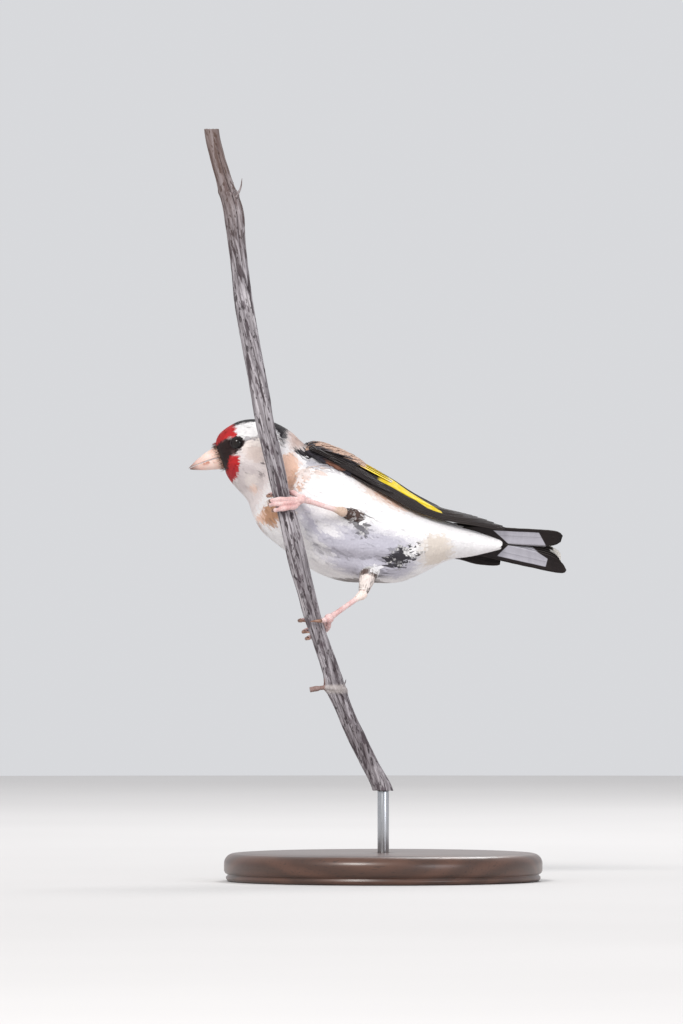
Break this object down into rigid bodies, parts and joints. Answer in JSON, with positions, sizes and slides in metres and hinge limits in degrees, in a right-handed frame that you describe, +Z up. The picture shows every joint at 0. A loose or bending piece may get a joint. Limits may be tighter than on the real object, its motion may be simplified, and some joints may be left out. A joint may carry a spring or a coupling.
{
  "type": "european goldfinch model",
  "caption": "Life-size still model of a small songbird with a red face and a yellow wing bar, clinging sideways to a cut length of dry stem on a round display stand.",
  "frame": {"origin": "centre of the stand base's underside", "axes": "+Z up, +X towards the bird's tail, -Y towards the side it is seen from"},
  "size_m": [0.1188, 0.1, 0.2362],
  "materials": {
    "face_feathers": "soft matt feathers, red, black and white",
    "body_feathers": "soft matt feathers, white, grey and buff",
    "flight_feathers": "smooth satin feathers, black, yellow and white",
    "bill": "smooth horn, pale pink with a dusky tip",
    "eye": "wet gloss",
    "leg_skin": "scaled skin, pink",
    "claw": "smooth horn, brown",
    "dry_stem": "weathered grey, streaked",
    "stand_metal": "brushed",
    "stand_wood": "dark, satin lacquer"
  },
  "bodies": {
    "root": {"head": "face_feathers", "neck": "body_feathers", "torso": "body_feathers", "tail": "flight_feathers", "bill_upper": "bill", "bill_lower": "bill", "eye_left": "eye", "eye_right": "eye", "wing_left": "flight_feathers", "wing_right": "flight_feathers", "thigh_left": "body_feathers", "thigh_right": "body_feathers", "tarsus_left": "leg_skin", "tarsus_right": "leg_skin", "foot_left": "leg_skin", "foot_right": "leg_skin", "claw_hind_left": "claw", "claw_inner_left": "claw", "claw_middle_left": "claw", "claw_outer_left": "claw", "claw_hind_right": "claw", "claw_inner_right": "claw", "claw_middle_right": "claw", "claw_outer_right": "claw", "perch_stem": "dry_stem", "stand_rod": "stand_metal", "stand_base": "stand_wood"}
  },
  "joints": []
}
